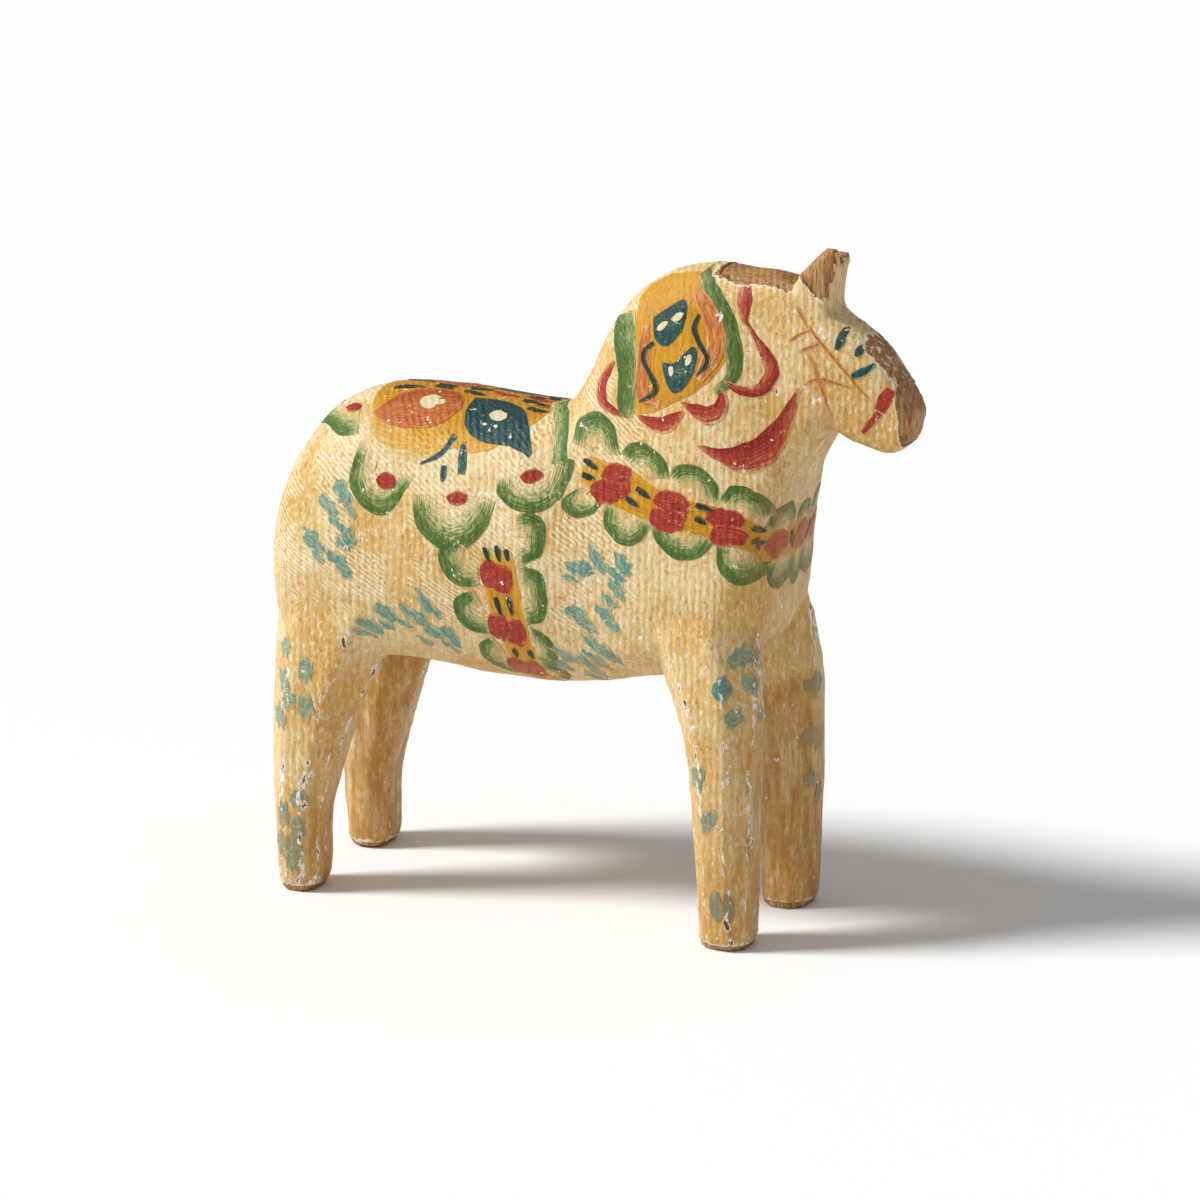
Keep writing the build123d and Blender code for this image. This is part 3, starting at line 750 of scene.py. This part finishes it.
def saddle_lobes(side):
    s, t = flank(side), back(side)
    edges = [([(-20, 116), (-19, 112), (-12, 109), (-6, 110.2), (-2.6, 114)], (-11, 119)),
             ([(-42.5, 110), (-41.3, 103.5), (-37.5, 99.2), (-32, 97), (-26, 98.8), (-21.5, 103.5),
               (-19.5, 111)], (-31, 111.5)),
             ([(-59.5, 121), (-61, 112), (-58, 106.8), (-53, 104), (-48, 105.6), (-43.3, 114)],
              (-52, 115.5))]
    out = [lobe(s, edge, centre, 0.75, FIRST) for edge, centre in edges]
    rump = [(-61, 19.6), (-66, 19.6), (-71, 16), (-75.4, 11), (-78.5, 4), (-78.8, -1)]
    out.append(lobe(t, rump, (-66, 8), 0.5, FIRST))
    front = spaced(s, [(-3, 112.5), (-1, 118), (-0.8, 122.5)])
    front += spaced(t, [(-2.2, 20), (-5, 13), (-8.5, 6.5), (-11.5, -1)])
    rear = spaced(s, [(-7.6, 113), (-5.8, 118), (-5.6, 122)])
    rear += spaced(t, [(-7, 20), (-9.8, 13), (-13, 6.5), (-16, -1)])
    out.append(sheet(None, front, rear, FIRST, SIDED, 0.9, 1.0))
    return out


def saddle_dabs(side):
    s, t = flank(side), back(side)
    marks = [((-11, 117.5), 5.5, 3.5, 10), ((-30, 110.5), 6, 3.5, 5), ((-50.5, 112.5), 5.5, 4, -5)]
    out = [blob(s, place, w, h, SECOND, turn) for place, w, h, turn in marks]
    out.append(blob(t, (-66, 12), 5, 3, SECOND, 20))
    if side == RIGHT:
        out += [run(t, [(x, -2), (x + 4, -0.5), (x + 8, 0)], (1, 2.6, 1.2), SECOND) for x in (-33, -24)]
    return out


def saddle_field(side):
    """The ochre over the back, drawn once across the ridge, and its thin edge down each flank."""
    edge = sheet(flank(side), [(-60, 127), (-50, 127.5), (-40, 127.5), (-31, 127.5)],
                 [(-56, 121.5), (-49, 118.6), (-41, 117.8), (-35, 121)], WASH,
                 (0.9, 0.95, 0.7, 0.35, 0.0), 0.4, 0.3)
    if side == LEFT:
        return [edge]
    right = [(-62, 6), (-60, 13), (-52, 19), (-43, 21), (-33, 21), (-23, 20), (-15.5, 13), (-13, 5)]
    left = [(x, -y) for x, y in right]
    return [edge, sheet(back(RIGHT), right, left, FIRST, (0.5, 0.9, 1.0, 0.9, 0.5), 0.7, 0.7, 1.1)]


def orange_leaf(side):
    t = back(side)
    inner = [(-59, 14.8), (-55, 8.5), (-49.5, 4.6), (-42, 3), (-37.8, 5.5), (-36, 10.5)]
    outer = [(-59, 15.2), (-53, 18), (-46, 18.4), (-41, 17.4), (-37.6, 15), (-36, 11.2)]
    return [sheet(t, inner, outer, SECOND, (0.95, 1.2, 0.8, 0.9, 0.8), 0.6, 0.9)]


def petrol_drop(side):
    t = back(side)
    inner = [(-34.6, 5), (-30, 4.4), (-25, 4.8), (-20, 7.8), (-17, 12), (-12.6, 19.6)]
    outer = [(-34.8, 5.6), (-34.2, 12.5), (-31.4, 17.2), (-25.5, 19.2), (-19, 19.2), (-13, 20.4)]
    return [sheet(t, inner, outer, SECOND, (0.95, 1.15, 0.95, 1.1, 0.9), 0.9, 0.6)]


def pale_dabs(side):
    s, t = flank(side), back(side)
    return [blob(t, (-45.6, 9.2), 5.0, 3.0, THIRD, -25), blob(t, (-45.2, 11.2), 5.0, 3.0, THIRD, 20),
            blob(t, (-42.6, 10.2), 3.6, 2.4, THIRD, 0), blob(t, (-25.5, 11.5), 4.8, 3.9, THIRD, 15),
            blob(s, (20.3, 157.6), 3.4, 1.7, THIRD, 40), blob(s, (24.2, 160.2), 3.6, 1.9, THIRD, 35),
            blob(s, (24.3, 147.3), 1.5, 2.6, THIRD, 10), blob(s, (28.7, 150.4), 1.6, 2.8, THIRD, -10)]


def saddle_ticks(side):
    t = back(side)
    marks = [((-58, 4.4), (-50, 3.2)), ((-39.5, 1.6), (-33.5, 2.6)), ((-19.5, 6.2), (-13.8, 7)),
             ((-23, 2), (-18.6, 2.4)), ((-18.4, 3.2), (-15, 3.6)), ((-48, 0.8), (-43, 1.2))]
    return dashes(t, marks, 2.2, THIRD)


def blue_strokes(side):
    s = flank(side)
    return [run(s, [(-34.2, 124.6), (-36.5, 120.5), (-41.8, 117.4)], (1.9, 1.3, 0.5), FIRST, FULL, 1, 0.5),
            run(s, [(-31.3, 123.4), (-30.4, 119.6), (-30, 116.2)], (1.6, 2.4, 1.8), FIRST, FULL, 1, 0.6),
            run(s, [(-35, 117.8), (-34.8, 114)], (1.4, 1.9, 1.0), FIRST, FULL, 1, 0.6)]


def mane_frame(side):
    s = flank(side)
    rear_edge = [(4, 156.4), (6.6, 149.6), (9, 144), (9.4, 138), (10.8, 134.2)]
    fore_edge = [(11, 160), (13, 153), (14.6, 146), (15, 139), (14.2, 134.4)]
    return [sheet(s, rear_edge, fore_edge, FIRST, (1.0, 1.2, 0.95, 0.7, 0.3), 0.7, 0.8),
            run(s, [(28.5, 171), (33.6, 166), (38, 159.5), (40.2, 153), (40.3, 147.5), (36.4, 143.3)],
                (3, 4, 4.4, 4.4, 4, 2), FIRST, (1.0, 1.2, 0.95, 0.8, 0.4), 0.8, 0.6)]


def mane_field(side):
    s = flank(side)
    rear_edge = [(19, 169), (13, 165), (11.6, 160), (13.8, 150), (14.6, 141), (15.4, 135.6)]
    fore_edge = [(28, 171), (33.5, 163.5), (37, 157.5), (38.4, 151.5), (32.5, 143.8), (20.5, 136.6)]
    return [sheet(s, rear_edge, fore_edge, WASH, (0.8, 1.0, 0.9, 1.1, 1.1), 0.8, 0.7)]


def mane_red(side):
    """The redder passages over the mane's ochre."""
    s = flank(side)
    return [run(s, [(28.4, 166.8), (33.8, 160.5), (35.4, 153.4), (32, 146)],
                (3, 5, 5, 2.6), SECOND, THIN, 0.5, 0.5),
            run(s, [(15.4, 157), (16, 148), (17, 140), (22, 138.8)],
                (1.8, 4, 4, 2), SECOND, THIN, 0.4, 0.4)]


def mane_leaves(side):
    s = flank(side)
    first = [(17.3, 159.2), (20.6, 161.6), (24.4, 164.3), (26, 164), (26.6, 161.4), (26, 157.6)]
    first_low = [(17.3, 158.6), (18.4, 154.8), (20.4, 153), (22.6, 153.2), (24.4, 155), (25.8, 157)]
    second = [(21.8, 149.2), (24.6, 149.2), (27, 151.4), (29.4, 153.8), (30.8, 151.6), (30.4, 147.8)]
    second_low = [(21.6, 148.4), (23, 144.6), (25, 142.4), (27.2, 142.6), (29, 144.6), (30.2, 147.2)]
    return [sheet(s, first, first_low, SECOND, (1.0, 1.2, 0.9, 1.1, 0.9), 0.9, 0.9),
            sheet(s, second, second_low, SECOND, (1.0, 1.1, 0.7, 1.0, 0.9), 0.9, 0.9)]


def mane_curls(side):
    s = flank(side)
    return [run(s, [(18.4, 153.4), (16.1, 151.2), (16.2, 148.4), (18.6, 145.4), (20.4, 143), (19.6, 140.8),
                    (16, 138.6)], (0.9, 1.4, 1.2, 1.5, 1.4, 0.6), THIRD, FULL, 1, 0.7),
            run(s, [(30, 161.4), (29.1, 158), (31, 154.5), (33.4, 151.8), (33.4, 149.4), (31.2, 146.8)],
                (0.8, 1.4, 1.2, 1.5, 0.6), THIRD, FULL, 1, 0.7)]


def red_commas(side):
    s = flank(side)
    return [run(s, [(40.6, 169), (41.6, 164.5), (42.2, 160)], (3.0, 4.4, 2.8, 0.9), FIRST, SIDED, 0.9, 0.5),
            run(s, [(42, 161.5), (46, 156), (49.2, 151.6), (50, 148), (47.2, 144.4), (42.6, 144.4),
                    (38.4, 146.2)],
                (0.6, 1.1, 3.0, 3.8, 3.2, 2.2, 0.8), FIRST, SIDED, 0.7, 0.3),
            run(s, [(33.5, 129.9), (39, 128.2), (45, 127.6), (49.6, 129.4), (52.2, 133.2), (55, 139),
                    (57.5, 145.5)],
                (0.6, 3.2, 7.2, 7.6, 5.0, 2.8, 0.8), FIRST, (1.1, 1.15, 0.8, 0.55, 0.2), 0.3, 0.2),
            run(s, [(28, 140), (32.5, 138.4), (36, 137.6), (38.4, 140), (38.2, 144.4)],
                (0.8, 3.0, 4.8, 3.8, 0.8), FIRST, SIDED, 0.3, 0.4),
            run(s, [(16, 135.2), (20, 134), (24.4, 134.2), (28.8, 137.8)],
                (0.8, 3.2, 4.4, 1.0), FIRST, SIDED, 0.3, 0.4),
            run(s, [(7, 147), (4.6, 143), (3.8, 139.8), (6, 136.4), (12, 134.3)],
                (0.8, 2.8, 3.2, 2.2, 0.8), FIRST, SIDED, 0.4, 0.3)]


def bridle(side):
    s = flank(side)
    lines = [[(55, 165.5), (57, 162.6), (58.6, 160)], [(54, 157), (56.4, 158.8), (59, 160)],
             [(58.5, 161), (62, 157), (67, 152), (71, 147.5), (74.5, 144)],
             [(57, 154.8), (59.6, 156), (62, 157)], [(58.5, 154.5), (60.5, 152), (62, 148), (65, 140)],
             [(58.5, 146.5), (62, 148), (70, 146.5)]]
    return [run(s, line, (0.5, 0.9, 0.7, 0.5), FIRST, (0.4, 0.7, 0.7, 0.7, 0.4), 0.6, 0.6) for line in lines]


def eyes(side):
    s = flank(side)
    return [run(s, [(67.4, 160.6), (66.8, 158), (66.1, 155.6)], (1.6, 2.6, 1.5), FIRST, FULL, 1.0, 0.7),
            run(s, [(72.4, 157.2), (71.3, 154.3)], (1.5, 2.2, 1.3), FIRST, FULL, 1.0, 0.7),
            run(s, [(75.7, 152.4), (73, 150.6), (70.1, 149.2)], (1.1, 2.1, 1.5), FIRST, FULL, 1.0, 0.7)]


def mouths(side):
    s = flank(side)
    return [run(s, [(80, 146.4), (78.8, 144), (77.3, 140.9)], (2.4, 3.8, 3.0), FIRST, FULL, 1.1, 1.0),
            run(s, [(77.4, 140.4), (75.6, 138), (73.4, 135)], (2.1, 1.9, 1.3), FIRST, FULL, 0.9, 0.7)]


# Dapples: a thin dab all over, and where the dabs are on the flank, the legs and the front of the legs.
DABBED = (0.15, 0.7, 0.62, 0.66, 0.15)
FLANK_DAPPLES = [(-66, 104), (-62.5, 108), (-60.5, 98), (-70, 95), (-63, 91), (-50, 78), (-43, 78.5),
                 (-38, 82), (-38, 74.5), (-33, 73.5), (3, 96), (8.5, 99), (14, 92), (3.5, 84), (11, 85),
                 (7, 76), (11, 73.5), (5, 69), (15, 98.5), (-1, 72), (-55, 74)]
LEG_DAPPLES = [(-79, 65), (-72, 61), (-79, 57), (-77, 52), (-72, 51), (-80, 47), (-74.5, 26), (-79, 21),
               (-75, 18), (-76, 9), (-79.5, 13), (-75.5, 13), (46.5, 77), (46.5, 62), (37.5, 46), (40.5, 35)]
FRONT_DAPPLES = [((17, 76), 4, 6), ((21, 70), 4, 6), ((15, 66), 3.6, 6), ((19, 62), 3, 5)]
FAR_FRONT_DAPPLES = [((17, 60), 5, 7), ((15.5, 46), 4, 7), ((19, 44), 4, 6), ((16, 35), 4, 6),
                     ((20, 30), 3, 5)]


def dapples(side):
    s, f = flank(side), chest(side)
    out = []
    for x, z in FLANK_DAPPLES:
        lean = rng.uniform(-60, -25)
        out.append(blob(s, (x, z), rng.uniform(6, 8.5), rng.uniform(3.2, 4.6), FIRST, lean, DABBED, 0.35))
        aside = (x + rng.uniform(-3, 3), z - rng.uniform(2.5, 4))
        out.append(blob(s, aside, rng.uniform(4, 6), rng.uniform(2.2, 3.2), FIRST, lean + 10, DABBED, 0.35))
    for place in LEG_DAPPLES:
        width, tall, lean = rng.uniform(3.6, 4.8), rng.uniform(5.5, 7.5), rng.uniform(-20, 20)
        out.append(blob(s, place, width, tall, FIRST, lean, DABBED, 0.3))
    for place, width, tall in (((43.4, 69.5), 4.4, 6.6), ((42.2, 12.5), 3.4, 8.5), ((45.4, 12), 2.6, 8)):
        out.append(blob(s, place, width, tall, FIRST, 5, FULL))
    front = FRONT_DAPPLES if side == RIGHT else FAR_FRONT_DAPPLES
    return out + [blob(f, place, width, tall, FIRST, rng.uniform(-15, 15), DABBED, 0.3)
                  for place, width, tall in front]


SURFACE = coat_tree(body)
COAT_POINTS = KDTree(len(body.data.vertices))
for index, vertex in enumerate(body.data.vertices):
    COAT_POINTS.insert(vertex.co, index)
COAT_POINTS.balance()
COAT_MARKS = {}
for mark in ("wear", "bare", "grime_and_shade"):
    COAT_MARKS[mark] = np.empty(len(body.data.vertices), np.float32)
    body.data.attributes[mark].data.foreach_get("value", COAT_MARKS[mark])

# Each oil colour where the brush was full, where it was thin, and where the paint gathered.
OCHRE = brush_material("ochre oil paint, brushed thin", "#C68A0C", "#D9AB38", "#96620C")
GREEN = brush_material("green oil paint, brushed thin", "#4F6C2A", "#B2B376", "#30521C")
RED = brush_material("red oil paint, brushed thin", "#A02E1C", "#BE6044", "#74120A")
ORANGE = brush_material("orange oil paint, brushed thin", "#B55A22", "#CE8A48", "#8C3916")
PETROL = brush_material("petrol blue oil paint, brushed thin", "#1D4847", "#56776A", "#122F33")
BLACK = brush_material("black-green oil paint, brushed in short touches", "#1B2E27", "#4A5642", "#0F1B17")
PALE = brush_material("pale cream oil paint, dabbed", "#DCCFA6", "#D8C38C", "#EBE2C8")
TURQUOISE = brush_material("turquoise oil paint, dabbed thin", "#4F877D", "#9FB08D", "#2F6660")

FILMS = [
    ("ochre_breast_band", "breast_band", "ochre_paint", OCHRE, breast_band),
    ("green_breast_scallops", "breast_band_scallops", "green_paint", GREEN, breast_lobes),
    ("red_breast_blots", "breast_band_red_blots", "red_paint", RED, breast_blots),
    ("black_breast_ticks", "breast_band_black_ticks", "black_green_paint", BLACK, breast_ticks),
    ("ochre_girth_band", "girth_band", "ochre_paint", OCHRE, girth_band),
    ("green_girth_scallops", "girth_band_scallops", "green_paint", GREEN, girth_lobes),
    ("red_girth_blots", "girth_band_red_blots", "red_paint", RED, girth_blots),
    ("black_girth_ticks", "girth_band_black_ticks", "black_green_paint", BLACK, girth_ticks),
    ("green_saddle_scallops", "saddle_scallops", "green_paint", GREEN, saddle_lobes),
    ("red_saddle_dabs", "saddle_red_dabs", "red_paint", RED, saddle_dabs),
    ("ochre_saddle_field", "saddle_ochre_field", "ochre_paint", OCHRE, saddle_field),
    ("orange_saddle_leaves", "saddle_orange_leaves", "orange_paint", ORANGE, orange_leaf),
    ("petrol_saddle_drops", "saddle_petrol_drops", "petrol_paint", PETROL, petrol_drop),
    ("cream_hearts", "saddle_cream_hearts", "pale_paint", PALE, pale_dabs),
    ("black_saddle_ticks", "saddle_black_ticks", "black_green_paint", BLACK, saddle_ticks),
    ("blue_saddle_strokes", "saddle_blue_strokes", "petrol_paint", PETROL, blue_strokes),
    ("green_mane_frame", "mane_green_frame", "green_paint", GREEN, mane_frame),
    ("ochre_mane_field", "mane_ochre_field", "ochre_paint", OCHRE, mane_field),
    ("petrol_mane_leaves", "mane_petrol_leaves", "petrol_paint", PETROL, mane_leaves),
    ("black_mane_curls", "mane_black_curls", "black_green_paint", BLACK, mane_curls),
    ("red_neck_commas", "neck_red_commas", "red_paint", RED, red_commas),
    ("orange_bridle_lines", "bridle_lines", "orange_paint", ORANGE, bridle),
    ("petrol_eye_strokes", "eye_strokes", "petrol_paint", PETROL, eyes),
    ("red_mouth_strokes", "mouth_strokes", "red_paint", RED, mouths),
    ("turquoise_flank_dapples", "turquoise_dapples", "turquoise_paint", TURQUOISE, dapples),
]
for name, node, slot, material, draw in FILMS:
    film(name, node, material, on_both(draw))

# The redder mane strokes lie over the ochre, in the same orange as the saddle's leaves.
film("orange_mane_strokes", "mane_ochre_field", ORANGE, on_both(mane_red))


# ---------------------------------------------------------------- studio

FLOOR_WIDTH = 12.0                     # metres, far past the edges of the view
ROOM_LIGHT = 0.34
KEY_PLACE, KEY_ANGLE, KEY_LIGHT = Vector((-1.35, -0.75, 1.55)), math.radians(15), 3.4
FILL_PLACE, FILL_SIZE, FILL_LIGHT = Vector((1.6, -1.6, 0.9)), 1.6, 0.8
LIT_POINT = Vector((0, 0, 0.08))       # the middle of the horse


def studio():
    """White paper in a white room, with a soft sun from high on the left and a weak fill."""
    bpy.ops.mesh.primitive_plane_add(size=FLOOR_WIDTH)
    floor = bpy.context.object
    floor.name = "studio_floor"
    material, tree = new_material("white paper, matt")
    shader = add(tree, "BsdfPrincipled", {"Base Color": linear("#F6F6F6"), "Roughness": 0.9})
    add(tree, "OutputMaterial", {"Surface": shader})
    floor.data.materials.append(material)
    world = bpy.data.worlds.new("white room")
    world.use_nodes = True
    background = world.node_tree.nodes["Background"]
    background.inputs[0].default_value = (1, 1, 1, 1)
    background.inputs[1].default_value = ROOM_LIGHT
    bpy.context.scene.world = world
    key = bpy.data.lights.new("key", "SUN")
    key.angle = KEY_ANGLE
    key.energy = KEY_LIGHT
    fill = bpy.data.lights.new("fill", "AREA")
    fill.size = FILL_SIZE
    fill.energy = FILL_LIGHT
    for light, place in ((key, KEY_PLACE), (fill, FILL_PLACE)):
        lamp = bpy.data.objects.new(light.name, light)
        lamp.location = place
        lamp.rotation_euler = (LIT_POINT - place).to_track_quat("-Z", "Y").to_euler()
        bpy.context.scene.collection.objects.link(lamp)
    bpy.context.scene.view_settings.view_transform = "Standard"


AZIMUTH, ELEVATION = math.radians(24.7), math.radians(16.4)
CAMERA_DISTANCE = 2.6
CAMERA_TARGET = Vector((-0.0025, 0, 0.0801))
SENSOR, LENS = 36, 306.5               # millimetres
FARTHEST = 30.0


def camera():
    """The camera, a little ahead of the right flank and a little above it."""
    level = math.cos(ELEVATION)
    away = Vector((math.sin(AZIMUTH) * level, -math.cos(AZIMUTH) * level, math.sin(ELEVATION)))
    data = bpy.data.cameras.new("camera")
    data.sensor_width = SENSOR
    data.lens = LENS
    data.clip_end = FARTHEST
    item = bpy.data.objects.new("camera", data)
    item.location = CAMERA_TARGET + away * CAMERA_DISTANCE
    item.rotation_euler = away.to_track_quat("Z", "Y").to_euler()
    bpy.context.scene.collection.objects.link(item)
    bpy.context.scene.camera = item


studio()
camera()
